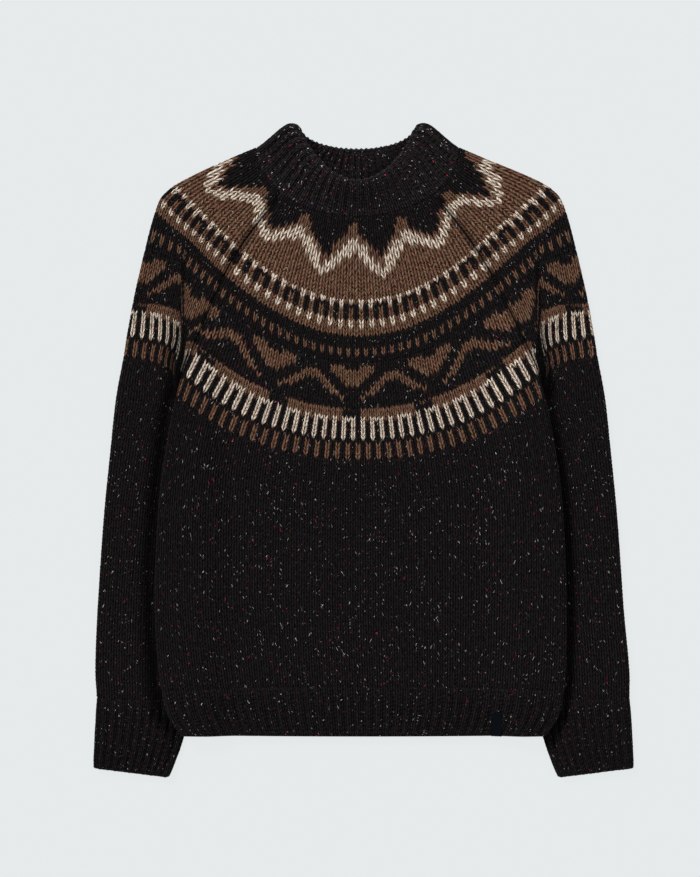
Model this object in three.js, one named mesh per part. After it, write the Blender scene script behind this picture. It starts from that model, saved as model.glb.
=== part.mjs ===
// A yoke jumper in chunky tweed wool, laid flat face up with its sleeves brought down beside the
// body. Millimetres, +Z up. +Y runs from the hem to the neck and +X to the wearer's left.
// Every piece is a knitted wall drawn through courses, the rows of knitting: a table gives each
// course its place on the flat garment, and a loop turns the courses into a closed solid.
import * as THREE from "three";

// Driving sizes of the cloth and of the way it lies
const WALL = 3.0; // one layer of the knitting
const HALF = 4.5; // half of what two layers measure, lying on each other
const SEAM = 0.3; // distance between neighbouring pieces at a seam
const EDGE_GAP = 0.4; // each piece stops this far from the line of a slanted seam
const FOLD_INSIDE = HALF - WALL; // inner radius where the cloth folds round
const SLEEVE_LIFT = 10.2; // how far the body's sides ride up over the sleeves under them
const LIFT_RAMP = { from: 131, to: 171 }; // distance from the centre line where the body rises
const LIFT_FADE = { from: 480, to: 385 }; // height above the hem where that rise begins and is full
const CREASE_DIP = 1.3; // soft trough in the sleeve beside its armhole crease
const NECK_LEAN = 6.3; // the neck lies a little towards the wearer's right
const LEAN_FADE = { low: 300, high: 540, near: 130, far: 200 };

// Ribbing, knit one purl one
const RIB_PITCH = 10;
const RIB_HEIGHT = 0.9;

// Neckband: half widths, and how far its front and back hang below the shoulder fold
const NECK = {
  seam: { half: 107.1, fold: 619.5, front: 72.4, back: 52.5 },
  rim: { half: 68.3, fold: 641.6, front: 59.9, back: 25.9 },
  rise: 10, // the front of the rim stands up this far
};
const RAGLAN_ANGLE = Math.acos(79.8 / NECK.seam.half); // where a raglan seam meets the neck
const NECK_GAP = 0.45; // the panels stop this far outside the neckband

// Courses of the front and back. y is measured up from the hem, and edge is the raglan seam down
// to the underarm and the side seam below it. bow is how sharply the course turns up at its ends.
const BODY = [
  { front: 547.1, back: 567.0, edgeX: 79.8, edgeY: 571.2, bow: 2.2, closed: 0 }, // neck
  { front: 483.0, back: 494.0, edgeX: 112.4, edgeY: 530.3, bow: 2.0, closed: 0 }, // zigzag
  { front: 448.4, back: 453.0, edgeX: 132.3, edgeY: 500.9, bow: 1.9, closed: 0 }, // checks
  { front: 420.0, back: 422.0, edgeX: 146.0, edgeY: 475.7, bow: 1.8, closed: 0 }, // dark ground
  { front: 372.8, back: 373.5, edgeX: 163.8, edgeY: 435.8, bow: 2.0, closed: 0 }, // lattice
  { front: 325.5, back: 325.5, edgeX: 177.5, edgeY: 404.3, bow: 2.3, closed: 0 }, // comb
  { front: 290.9, back: 290.9, edgeX: 188.5, edgeY: 377.0, bow: 2.5, closed: 0 }, // underarm
  { front: 248.9, back: 248.9, edgeX: 199.5, edgeY: 327.6, bow: 2.5, closed: 1 }, // chest
  { front: 201.6, back: 201.6, edgeX: 210.5, edgeY: 254.1, bow: 2.4, closed: 1 }, // waist
  { front: 149.1, back: 149.1, edgeX: 215.3, edgeY: 170.1, bow: 2.2, closed: 1 }, // high hip
  { front: 96.6, back: 96.6, edgeX: 215.0, edgeY: 101.9, bow: 2.0, closed: 1 }, // hip
  { front: 52.5, back: 52.5, edgeX: 211.4, edgeY: 49.4, bow: 2.0, closed: 1 }, // top of the welt
];
const WELT = [
  { front: 52.2, back: 52.2, edgeX: 211.3, edgeY: 49.1, bow: 2.0, closed: 1 },
  { front: 26.3, back: 26.3, edgeX: 205.3, edgeY: 22.0, bow: 2.0, closed: 1 },
  { front: 0, back: 0, edgeX: 191.6, edgeY: 1.6, bow: 2.0, closed: 1 },
];
const CAP_ROWS = [0, 1, 1.5, 2, 2.5, 3, 3.5, 4, 4.5, 5, 5.5, 6]; // shared, so that the raglan seams fit
const BODY_ROWS = [...CAP_ROWS, 6.25, 6.5, 6.75, 7, 7.5, 8, 8.5, 9, 10, 11];
const WELT_ROWS = [0, 0.5, 1, 1.4, 1.7, 2];

// Courses of a sleeve, from the neck to the cuff. Each runs from the raglan seam, or from the
// underarm fold once the sleeve is a tube, past both lips of the crease to the outer fold.
const SLEEVE = [
  { inX: 79.8, inY: 571.2, lipX: 92.9, lipY: 555.6, farX: 96.1, farY: 551.4, outX: 107.1, outY: 619.5, closed: 0 },
  { inX: 112.4, inY: 530.3, lipX: 147.0, lipY: 566.0, farX: 151.2, farY: 571.2, outX: 171.2, outY: 592.2, closed: 0 },
  { inX: 132.3, inY: 500.9, lipX: 172.2, lipY: 541.8, farX: 176.4, farY: 547.1, outX: 202.7, outY: 574.4, closed: 0 },
  { inX: 146.0, inY: 475.7, lipX: 180.6, lipY: 518.7, farX: 185.9, farY: 525.0, outX: 216.3, outY: 551.3, closed: 0 },
  { inX: 163.8, inY: 435.8, lipX: 184.8, lipY: 446.3, farX: 189.0, farY: 475.7, outX: 234.7, outY: 478.8, closed: 0 },
  { inX: 177.5, inY: 404.3, lipX: 187.0, lipY: 402.0, farX: 191.0, farY: 424.0, outX: 244.1, outY: 431.6, closed: 0 },
  { inX: 188.5, inY: 377.0, lipX: 194.5, lipY: 379.5, farX: 199.0, farY: 389.0, outX: 249.4, outY: 399.0, closed: 0 },
  { inX: 195.6, inY: 351.8, lipX: 202.2, lipY: 352.3, farX: 210.2, farY: 352.8, outX: 257.3, outY: 356.0, closed: 1 },
  { inX: 187.0, inY: 301.4, lipX: 194.0, lipY: 301.6, farX: 202.0, farY: 302.0, outX: 263.0, outY: 303.5, closed: 1 },
  { inX: 180.6, inY: 227.9, lipX: 188.0, lipY: 227.9, farX: 197.0, farY: 227.9, outX: 270.4, outY: 227.9, closed: 1 },
  { inX: 178.5, inY: 143.9, lipX: 186.0, lipY: 143.9, farX: 195.0, farY: 143.9, outX: 276.2, outY: 143.9, closed: 1 },
  { inX: 180.6, inY: 70.4, lipX: 188.0, lipY: 70.6, farX: 197.0, farY: 71.0, outX: 280.9, outY: 72.5, closed: 1 },
  { inX: 182.7, inY: 37.0, lipX: 190.0, lipY: 37.3, farX: 199.0, farY: 37.8, outX: 280.4, outY: 40.2, closed: 1 },
];
const CUFF = [
  { inX: 182.7, inY: 36.7, outX: 280.4, outY: 39.9 },
  { inX: 190.6, inY: -3.2, outX: 282.5, outY: -1.0 },
  { inX: 205.3, inY: -43.6, outX: 284.0, outY: -33.6 },
];
const SLEEVE_ROWS = [...CAP_ROWS, 6.33, 6.67, 7, 7.5, 8, 9, 10, 11, 12];
const CUFF_ROWS = [0, 0.6, 1.2, 1.6, 2];

// Woven tab on the front welt, near the wearer's left side
const TAB = { x: 142.8, wide: 9, low: 0.6, high: 22.5, thick: 0.8 };

const WOOL = { color: 0x1c1a1b, roughness: 0.95, metalness: 0 };
const YOKE_WOOL = { color: 0x2a2422, roughness: 0.95, metalness: 0 };
const TAPE = { color: 0x101114, roughness: 0.7, metalness: 0 };

const smooth = THREE.MathUtils.smoothstep;
const mix = THREE.MathUtils.lerp;

/** Reads a table of courses at a place between its rows, each column on a smooth curve. */
function courseAt(table, place) {
  const row = Math.min(Math.floor(place), table.length - 2);
  const part = place - row;
  const near = (offset) => table[THREE.MathUtils.clamp(row + offset, 0, table.length - 1)];
  const read = {};
  for (const column of Object.keys(table[0])) {
    const [a, b, c, d] = [-1, 0, 1, 2].map((offset) => near(offset)[column]);
    const slopeIn = (c - a) / 2;
    const slopeOut = (d - b) / 2;
    const [p2, p3] = [part * part, part * part * part];
    read[column] = (2 * p3 - 3 * p2 + 1) * b + (p3 - 2 * p2 + part) * slopeIn
      + (3 * p2 - 2 * p3) * c + (p3 - p2) * slopeOut;
  }
  read.closed = THREE.MathUtils.clamp(mix(near(0).closed ?? 1, near(1).closed ?? 1, part), 0, 1);
  return read;
}

/** How far the cloth at x, y is lifted by the sleeve lying under the body's side. */
function lift(x, y) {
  const acrossBody = smooth(Math.abs(x), LIFT_RAMP.from, LIFT_RAMP.to);
  const downBody = 1 - smooth(y, LIFT_FADE.to, LIFT_FADE.from);
  return SLEEVE_LIFT * acrossBody * downBody;
}

/** Leans the neck to one side, as the garment was laid down. */
function leaned(point) {
  const up = smooth(point.y, LEAN_FADE.low, LEAN_FADE.high);
  const inward = 1 - smooth(Math.abs(point.x), LEAN_FADE.near, LEAN_FADE.far);
  return point.clone().setX(point.x - NECK_LEAN * up * inward);
}

/** The point a given distance along a path of flat points. */
function along(path, distance) {
  let left = distance;
  for (let i = 1; i < path.length; i++) {
    const step = path[i].distanceTo(path[i - 1]);
    if (left <= step || i === path.length - 1) return path[i - 1].clone().lerp(path[i], left / step);
    left -= step;
  }
  return path[0].clone();
}

function lengthOf(path) {
  return path.slice(1).reduce((sum, point, i) => sum + point.distanceTo(path[i]), 0);
}

/**
 * Joins two grids of points, the face of the cloth and its inside, into one closed solid.
 * A wrapped grid meets itself and is a tube. The faces are turned to point outwards.
 */
function knittedWall(face, inside, wrapped = false) {
  const [rows, columns] = [face.length, face[0].length];
  const points = [...face.flat(), ...inside.flat()].map(leaned);
  const back = rows * columns;
  const index = [];
  const quad = (a, b, c, d) => index.push(a, b, c, a, c, d);
  const at = (row, column) => row * columns + (column % columns);
  const lastColumn = wrapped ? columns : columns - 1;
  for (let row = 0; row < rows - 1; row++) {
    for (let column = 0; column < lastColumn; column++) {
      const corners = [at(row, column), at(row, column + 1), at(row + 1, column + 1), at(row + 1, column)];
      quad(...corners);
      quad(...corners.map((corner) => corner + back).reverse());
    }
  }
  for (let column = 0; column < lastColumn; column++) {
    const [top, next] = [at(0, column), at(0, column + 1)];
    const [low, lowNext] = [at(rows - 1, column), at(rows - 1, column + 1)];
    quad(next, top, top + back, next + back);
    quad(low, lowNext, lowNext + back, low + back);
  }
  for (let row = 0; row < rows - 1 && !wrapped; row++) {
    const [start, startNext] = [at(row, 0), at(row + 1, 0)];
    const [end, endNext] = [at(row, columns - 1), at(row + 1, columns - 1)];
    quad(start, startNext, startNext + back, start + back);
    quad(endNext, end, end + back, endNext + back);
  }
  let volume = 0;
  for (let i = 0; i < index.length; i += 3) {
    const [a, b, c] = [0, 1, 2].map((k) => points[index[i + k]]);
    volume += a.dot(b.clone().cross(c));
  }
  if (volume < 0) index.reverse();
  const geometry = new THREE.BufferGeometry().setFromPoints(points);
  geometry.setIndex(index);
  geometry.computeVertexNormals();
  return geometry;
}

/**
 * Places of the wall near an edge: how far in from the edge, and how high above the middle of
 * the two layers, for the face and the inside. An edge that is closed rolls down to its seam, and
 * an open one runs flat to the seam with the next piece.
 */
function edgeRoll(closed, reach) {
  return [0, 45, 90].map((degrees, i) => {
    const angle = THREE.MathUtils.degToRad(degrees);
    const flatIn = EDGE_GAP + (reach * i) / 3;
    const place = (radius) => ({
      inset: mix(flatIn, HALF - radius * Math.cos(angle), closed),
      height: mix(radius, Math.max(SEAM / 2, radius * Math.sin(angle)), closed),
    });
    return { face: place(HALF), inside: place(FOLD_INSIDE) };
  });
}

/** A point of the neck's edge, a half ellipse on each layer. Angle 0 is the shoulder fold. */
function neckPoint(size, layer, angle, gap = 0) {
  const drop = (layer > 0 ? size.front : size.back) + gap;
  return new THREE.Vector2((size.half + gap) * Math.cos(angle), size.fold - drop * Math.sin(angle));
}

/** The flat path of a body course, from the centre line to its edge on the wearer's left. */
function bodyPath(course, layer, isNeck) {
  const steps = 24;
  const centre = layer > 0 ? course.front : course.back;
  const path = [];
  for (let i = 0; i <= steps; i++) {
    const share = i / steps;
    const bowed = new THREE.Vector2(
      course.edgeX * share, mix(centre, course.edgeY, share ** course.bow));
    const onNeck = neckPoint(NECK.seam, layer, mix(Math.PI / 2, RAGLAN_ANGLE, share), NECK_GAP);
    path.push(isNeck ? onNeck : bowed);
  }
  return path;
}

/** One course of the front (layer 1) or back (layer -1), from one edge to the other. */
function bodyCourse(course, layer, flats, ribs, isNeck) {
  const path = bodyPath(course, layer, isNeck);
  const length = lengthOf(path);
  const roll = edgeRoll(course.closed, HALF);
  const half = { face: [], inside: [] };
  const startOfRoll = roll[2].face.inset;
  for (const side of ["face", "inside"]) {
    for (let i = 0; i < flats; i++) {
      const flat = along(path, ((length - startOfRoll) * i) / flats);
      const radius = side === "face" ? HALF : FOLD_INSIDE;
      const ridge = side === "face" && ribs && i % 2 === 0 ? RIB_HEIGHT : 0;
      half[side].push({ flat, height: radius + ridge });
    }
    for (const step of [...roll].reverse()) {
      half[side].push({ flat: along(path, length - step[side].inset), height: step[side].height });
    }
  }
  const solidPoint = ({ flat, height }, sign) =>
    new THREE.Vector3(sign * flat.x, flat.y, HALF + layer * height + lift(flat.x, flat.y));
  const whole = (points) => [
    ...points.slice(1).reverse().map((point) => solidPoint(point, -1)),
    ...points.map((point) => solidPoint(point, 1)),
  ];
  return { face: whole(half.face), inside: whole(half.inside) };
}

function bodyPanel(table, rows, layer, flats, ribs = false) {
  const courses = rows.map((place) =>
    bodyCourse(courseAt(table, place), layer, flats, ribs, table === BODY && place === 0));
  return knittedWall(courses.map((c) => c.face), courses.map((c) => c.inside));
}

/** The flat path of a sleeve course, from its seam or underarm fold to the outer fold. */
function sleevePath(course, layer, isNeck) {
  if (isNeck) {
    const path = Array.from({ length: 13 }, (_, i) =>
      neckPoint(NECK.seam, layer, mix(RAGLAN_ANGLE, 0, i / 12), NECK_GAP));
    return { path, lip: lengthOf(path) * 0.5, far: lengthOf(path) * 0.58 };
  }
  const path = [
    new THREE.Vector2(course.inX, course.inY),
    new THREE.Vector2(course.lipX, course.lipY),
    new THREE.Vector2(course.farX, course.farY),
    new THREE.Vector2(course.outX, course.outY),
  ];
  return { path, lip: lengthOf(path.slice(0, 2)), far: lengthOf(path.slice(0, 3)) };
}

/** One course of a sleeve: over the top layer, round the outer fold and back below. */
function sleeveCourse(course, place) {
  const tube = smooth(place, 6, 7); // 0 in the cap, 1 where the sleeve lies on the floor
  const crease = smooth(place, 2.2, 4) * (1 - smooth(place, 7, 9));
  const build = (side, layer) => {
    const { path, lip, far } = sleevePath(course, layer, place === 0);
    const length = lengthOf(path);
    const roll = edgeRoll(course.closed, Math.min(HALF, lip * 0.8));
    const raised = (distance, flat) => {
      const strip = 1 - smooth(distance, lip, far);
      return mix(lift(flat.x, flat.y), SLEEVE_LIFT * (1 - tube), smooth(place, 5.5, 6)) * strip;
    };
    const dip = (distance) =>
      CREASE_DIP * crease * smooth(distance, lip, far) * (1 - smooth(distance, far, far + 22));
    const radius = side === "face" ? HALF : FOLD_INSIDE;
    const line = [];
    const add = (distance, height) => {
      const flat = along(path, distance);
      const sunk = layer > 0 ? dip(distance) : 0;
      const z = HALF + layer * height + raised(distance, flat) - sunk;
      line.push(new THREE.Vector3(flat.x, flat.y, z));
    };
    for (const step of roll) add(step[side].inset, step[side].height);
    for (const share of [0.35, 0.7, 1]) add(mix(roll[2][side].inset, lip, share), radius);
    add((lip + far) / 2, radius);
    add(far, radius);
    const foldStart = length - HALF;
    for (const share of [0.33, 0.67]) add(mix(far, foldStart, share), radius);
    for (const degrees of [90, 45]) {
      const angle = THREE.MathUtils.degToRad(degrees);
      add(length - HALF + radius * Math.cos(angle), radius * Math.sin(angle));
    }
    return line;
  };
  const join = (side) => {
    const radius = side === "face" ? HALF : FOLD_INSIDE;
    const { path } = sleevePath(course, 1, place === 0);
    const tip = along(path, lengthOf(path) - HALF + radius);
    const middle = new THREE.Vector3(tip.x, tip.y, HALF);
    return [...build(side, 1), middle, ...build(side, -1).reverse()];
  };
  return { face: join("face"), inside: join("inside") };
}

function mirrored(courses, side) {
  const flip = (line) => line.map((point) => point.clone().setX(point.x * side));
  return courses.map(flip);
}

function sleeve(side) {
  const courses = SLEEVE_ROWS.map((place) => sleeveCourse(courseAt(SLEEVE, place), place));
  return knittedWall(
    mirrored(courses.map((c) => c.face), side), mirrored(courses.map((c) => c.inside), side));
}

/**
 * One ring of a flattened tube. Two flat paths run from the right fold to the left one, over the
 * top layer and under the bottom layer. The ring rolls round each fold, and rises as told.
 */
function flatRing(topPath, bottomPath, ribs, rise, ridges) {
  const lines = { face: [], inside: [] };
  for (const [path, layer] of [[topPath, 1], [bottomPath, -1]]) {
    const turn = (HALF * Math.PI) / 2;
    const length = lengthOf(path) - 2 * HALF + 2 * turn;
    for (let i = 0; i < 2 * ribs; i++) {
      const share = layer > 0 ? i / (2 * ribs) : 1 - i / (2 * ribs);
      const run = share * length;
      const fromFold = Math.min(run, length - run);
      const angle = Math.min(fromFold / HALF, Math.PI / 2);
      for (const side of ["face", "inside"]) {
        const radius = side === "face" ? HALF : FOLD_INSIDE;
        const inset = fromFold < turn ? HALF - radius * Math.cos(angle) : HALF + fromFold - turn;
        const flat = along(path, run * 2 < length ? inset : lengthOf(path) - inset);
        const ridge = i % 2 === 0 ? RIB_HEIGHT * ridges(side, layer) * Math.sin(angle) : 0;
        const outward = side === "face" ? layer : 1;
        const z = HALF + layer * radius * Math.sin(angle) + outward * ridge + rise(layer, share);
        lines[side].push(new THREE.Vector3(flat.x, flat.y, z));
      }
    }
  }
  return lines;
}

/** The neckband: a ribbed ring, lying flat with its front rim a little raised. */
function neckband() {
  const ribs = 27;
  const steps = 40;
  const rings = [0, 0.35, 0.7, 1].map((share) => {
    const size = {};
    for (const key of Object.keys(NECK.seam)) size[key] = mix(NECK.seam[key], NECK.rim[key], share);
    const arc = (layer) => Array.from({ length: steps + 1 }, (_, i) =>
      neckPoint(size, layer, (Math.PI * i) / steps));
    const rise = (layer, around) =>
      (layer > 0 ? NECK.rise * Math.sin(Math.PI * around) ** 2 * share ** 1.3 : 0);
    const ridges = (side, layer) => ((side === "face") === layer > 0 ? 1 : 0);
    return flatRing(arc(1), arc(-1), ribs, rise, ridges);
  });
  return knittedWall(rings.map((ring) => ring.face), rings.map((ring) => ring.inside), true);
}

/** A cuff: a ribbed tube whose underside rests flat on the floor. */
function cuff(side) {
  const ribs = 9;
  const rings = CUFF_ROWS.map((place) => {
    const course = courseAt(CUFF, place);
    const path = [
      new THREE.Vector2(course.outX, course.outY), new THREE.Vector2(course.inX, course.inY)];
    return flatRing(path, path, ribs, () => 0, (face, layer) => (face === "face" && layer > 0 ? 1 : 0));
  });
  return knittedWall(
    mirrored(rings.map((ring) => ring.face), side),
    mirrored(rings.map((ring) => ring.inside), side), true);
}

/** The woven tab, a strip of tape lying on the front welt, made from the welt's own height. */
function tab() {
  const strip = (raise) => [TAB.high, (TAB.high + TAB.low) / 2, TAB.low].map((y) =>
    [-0.5, 0, 0.5].map((share) => {
      const x = TAB.x + share * TAB.wide;
      return new THREE.Vector3(x, y, 2 * HALF + lift(x, y) + RIB_HEIGHT + SEAM + raise);
    }));
  return knittedWall(strip(TAB.thick), strip(0));
}

function piece(name, geometry, finish) {
  const mesh = new THREE.Mesh(geometry, new THREE.MeshStandardMaterial(finish));
  mesh.name = name;
  return mesh;
}

const weltRibs = Math.round(WELT[0].edgeX / (RIB_PITCH / 2));
const jumper = new THREE.Group();
jumper.add(
  piece("front_panel", bodyPanel(BODY, BODY_ROWS, 1, 9), YOKE_WOOL),
  piece("back_panel", bodyPanel(BODY, BODY_ROWS, -1, 7), YOKE_WOOL),
  piece("sleeve_left", sleeve(1), YOKE_WOOL),
  piece("sleeve_right", sleeve(-1), YOKE_WOOL),
  piece("neckband", neckband(), WOOL),
  piece("front_welt", bodyPanel(WELT, WELT_ROWS, 1, weltRibs, true), WOOL),
  piece("back_welt", bodyPanel(WELT, WELT_ROWS, -1, 7), WOOL),
  piece("cuff_left", cuff(1), WOOL),
  piece("cuff_right", cuff(-1), WOOL),
  piece("hem_tab", tab(), TAPE),
);

// The origin is on the floor, under the middle of the garment's box
const box = new THREE.Box3().setFromObject(jumper);
const middle = box.getCenter(new THREE.Vector3());
jumper.position.set(-middle.x, -middle.y, -box.min.z);
jumper.updateMatrixWorld(true);

export default jumper;
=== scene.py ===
import logging
import math
from dataclasses import dataclass, field
from enum import Enum
from typing import Callable, Dict, List, Optional, Sequence, Tuple

import bpy
import numpy as np
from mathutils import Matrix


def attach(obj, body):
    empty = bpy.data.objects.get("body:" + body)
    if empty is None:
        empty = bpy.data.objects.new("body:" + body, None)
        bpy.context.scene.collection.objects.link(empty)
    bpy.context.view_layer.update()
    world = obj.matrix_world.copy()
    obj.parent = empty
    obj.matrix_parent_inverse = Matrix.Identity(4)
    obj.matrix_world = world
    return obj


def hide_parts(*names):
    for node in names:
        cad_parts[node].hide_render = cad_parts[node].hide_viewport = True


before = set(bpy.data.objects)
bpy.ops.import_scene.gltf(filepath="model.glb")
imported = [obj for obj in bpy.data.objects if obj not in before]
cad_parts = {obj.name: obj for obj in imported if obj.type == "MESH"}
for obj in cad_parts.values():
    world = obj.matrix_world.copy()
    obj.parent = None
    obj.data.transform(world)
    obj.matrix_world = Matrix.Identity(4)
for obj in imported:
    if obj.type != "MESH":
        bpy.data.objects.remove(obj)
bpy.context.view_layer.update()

log = logging.getLogger("jumper")

# Sizes in millimetres, as in the CAD, turned to metres when a mesh is made
MM = 0.001
HEM_Y = -299.0  # where the hem lies in the row frame
WALL = 3.0
HALF = 4.5
FOLD_INSIDE = HALF - WALL
SLEEVE_LIFT = 10.2
LIFT_FROM, LIFT_TO = 131.0, 171.0
FADE_FULL, FADE_GONE = 385.0, 480.0
NECK_LEAN = 3.2
SIDE_LEAN = 3.1
ROW = 4.19  # one row of knitting, up the middle of the front
NECK_TOP = 547.1  # the middle of the front's neck seam, above the hem
LEG = 1.15  # how far a stitch's legs run down, in rows
RAGLAN = math.acos(79.8 / 107.1)
# Heights, and the shade painted into the colour as lost light, at a stitch's left edge, leg, middle
# and leg
KNIT_RELIEF = (-0.8, 0.5, -0.42, 0.5)
PURL_RELIEF = (-0.4, -1.0, -1.25, -1.0)
KNIT_PAINTED_SHADE = (0.05, 0, 0, 0)
PURL_PAINTED_SHADE = (0.05, 0.2, 0.35, 0.2)
RIB_EDGE = -0.4  # the height between two ribs
FUZZ = 0.06  # how unevenly a face of cloth stands out
# The zigzag's height in rows, and the spikes of brown over its peaks
ZIGZAG_ROW, SPIKE_ROWS, SPIKE_TURN = 11.6, 3.5, 0.17
DARK_NEP = (0.045, 0.042, 0.042, 1)
PALE_NEP = (0.42, 0.40, 0.38, 1)
RED_NEP = (0.34, 0.022, 0.05, 1)
GAP_SHADE_TONE = (0.08, 0.05, 0.03)  # painted shade in the gaps between a yarn's fibres and legs, as shares of its colour
FLOOR_LIGHT, FLOOR_STRENGTH = (0.8006, 0.8336, 0.8425, 1), 0.945
CAMERA_PLACE = (-0.0142, 0.0144, 2.186)


class Yarn(Enum):
    """The three yarns, in the order of a piece's material slots."""

    DARK = 0
    BROWN = 1
    CREAM = 2


class Fabric(Enum):
    """How the stitches of a zone are worked."""

    STOCKING = "stocking stitch"
    RIB = "knit one purl one"


class Layer(Enum):
    """The layer of the laid garment, as the sign of its height."""

    TOP = 1
    UNDER = -1


@dataclass(frozen=True)
class YarnFinish:
    """How one yarn looks.

    Args:
        name: The material's name.
        colour: Its colour in light.
        shade: How strongly its fibres differ in tint.
        flecks: The share of places with a nep.
        red: The share of neps that are red.
        sheen: How much nap catches the light.
        roughness: How dull it is.
    """

    name: str
    colour: Tuple[float, float, float]
    shade: float
    flecks: float
    red: float
    sheen: float
    roughness: float = 0.92


FINISHES: Tuple[YarnFinish, ...] = (
    YarnFinish("yarn_dark_tweed", (0.0182, 0.0155, 0.0170), 0.62, 0.14, 0.22, 0.01),
    YarnFinish("yarn_brown", (0.265, 0.144, 0.092), 0.40, 0.03, 0.01, 0.01),
    YarnFinish("yarn_cream", (1.0, 0.85, 0.70), 0.10, 0.01, 0.0, 0.05),
)


@dataclass(frozen=True)
class Courses:
    """A table of courses, the rows of knitting that set the flat shape.

    Args:
        names: The columns.
        rows: One row of values a course.
    """

    names: Tuple[str, ...]
    rows: Tuple[Tuple[float, ...], ...]

    def read(self, name: str, place: np.ndarray) -> np.ndarray:
        """Reads a column between its rows, on a smooth curve.

        Args:
            name: The column.
            place: Places in the table, 0 for its first row.

        Returns:
            The column's value at each place.
        """
        column = np.array([row[self.names.index(name)] for row in self.rows])
        last = len(column) - 1
        row = np.clip(np.floor(place).astype(int), 0, last - 1)
        part = place - row
        a, b = column[np.clip(row - 1, 0, last)], column[row]
        c, d = column[row + 1], column[np.clip(row + 2, 0, last)]
        p2, p3 = part**2, part**3
        value = (2 * p3 - 3 * p2 + 1) * b + (p3 - 2 * p2 + part) * (c - a) / 2
        return value + (3 * p2 - 2 * p3) * c + (p3 - p2) * (d - b) / 2


BODY = Courses(
    ("front", "back", "x", "y", "bow"),
    (
        (547.1, 567.0, 79.8, 571.2, 2.2),
        (483.0, 494.0, 112.4, 530.3, 2.0),
        (448.4, 453.0, 132.3, 500.9, 1.9),
        (420.0, 422.0, 146.0, 475.7, 1.8),
        (372.8, 373.5, 163.8, 435.8, 2.0),
        (325.5, 325.5, 177.5, 404.3, 2.3),
        (290.9, 290.9, 188.5, 377.0, 2.5),
        (248.9, 248.9, 199.5, 327.6, 2.5),
        (201.6, 201.6, 210.5, 254.1, 2.4),
        (149.1, 149.1, 215.3, 170.1, 2.2),
        (96.6, 96.6, 215.0, 101.9, 2.0),
        (52.5, 52.5, 211.4, 49.4, 2.0),
        (26.3, 26.3, 205.3, 22.0, 2.0),
        (0.0, 0.0, 191.6, 1.6, 2.0),
    ),
)
SLEEVE = Courses(
    ("in_x", "in_y", "lip_x", "lip_y", "far_x", "far_y", "out_x", "out_y"),
    (
        (79.8, 571.2, 92.9, 555.6, 96.1, 551.4, 107.1, 619.5),
        (112.4, 530.3, 147.0, 566.0, 151.2, 571.2, 171.2, 592.2),
        (132.3, 500.9, 172.2, 541.8, 176.4, 547.1, 202.7, 574.4),
        (146.0, 475.7, 180.6, 518.7, 185.9, 525.0, 216.3, 551.3),
        (163.8, 435.8, 184.8, 446.3, 189.0, 475.7, 234.7, 478.8),
        (177.5, 404.3, 187.0, 402.0, 191.0, 424.0, 244.1, 431.6),
        (186.5, 377.0, 193.0, 379.5, 198.0, 389.0, 249.4, 399.0),
        (176.0, 351.8, 187.0, 352.3, 200.0, 352.8, 257.3, 356.0),
        (182.5, 301.4, 191.0, 301.6, 201.0, 302.0, 263.0, 303.5),
        (180.6, 227.9, 188.0, 227.9, 197.0, 227.9, 270.4, 227.9),
        (178.5, 143.9, 186.0, 143.9, 195.0, 143.9, 276.2, 143.9),
        (180.6, 70.4, 188.0, 70.6, 197.0, 71.0, 280.9, 72.5),
        (182.7, 37.0, 190.0, 37.3, 199.0, 37.8, 280.4, 40.2),
        (190.6, -3.2, 197.5, -3.0, 206.0, -2.8, 282.5, -1.0),
        (205.3, -43.6, 212.0, -42.7, 220.0, -41.7, 284.0, -33.6),
    ),
)
HEM_PLACE = 13.0
CUFF_PLACE, CUFF_END = 12.0, 13.96
TURN_ROWS = 1.5  # rows that go round a turned edge


def smooth(value: np.ndarray, low: float, high: float) -> np.ndarray:
    """Rises smoothly from 0 at low to 1 at high.

    Args:
        value: Values to ease.
        low: Where the rise begins.
        high: Where it ends.

    Returns:
        The eased share at each value.
    """
    t = np.clip((value - low) / (high - low), 0, 1)
    return t * t * (3 - 2 * t)


def lift(x: np.ndarray, y: np.ndarray) -> np.ndarray:
    """How far the sleeve lying under the body's side lifts the cloth.

    Args:
        x: Distance from the centre line.
        y: Height above the hem.

    Returns:
        The lift in millimetres.
    """
    fade = 1 - smooth(y, FADE_FULL, FADE_GONE)
    return SLEEVE_LIFT * smooth(np.abs(x), LIFT_FROM, LIFT_TO) * fade


@dataclass(frozen=True)
class Fold:
    """A long soft ridge or trough in a laid layer.

    Args:
        start: One end, from the centre line and above the hem.
        end: The other end.
        height: How far it stands up, or down if negative.
        width: Half of its width.
    """

    start: Tuple[float, float]
    end: Tuple[float, float]
    height: float
    width: float

    def at(self, x: np.ndarray, y: np.ndarray) -> np.ndarray:
        """The height that the fold adds.

        Args:
            x: Distance from the centre line.
            y: Height above the hem.

        Returns:
            The added height in millimetres.
        """
        ax, ay = self.start
        dx, dy = self.end[0] - ax, self.end[1] - ay
        length = math.hypot(dx, dy)
        along = ((x - ax) * dx + (y - ay) * dy) / length**2
        beside = ((x - ax) * dy - (y - ay) * dx) / length
        beside = beside + 0.12 * self.width * np.sin(9 * along)
        fade = smooth(along, -0.15, 0.25) * (1 - smooth(along, 0.7, 1.15))
        return self.height * fade * np.exp(-((beside / self.width) ** 2))


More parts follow.
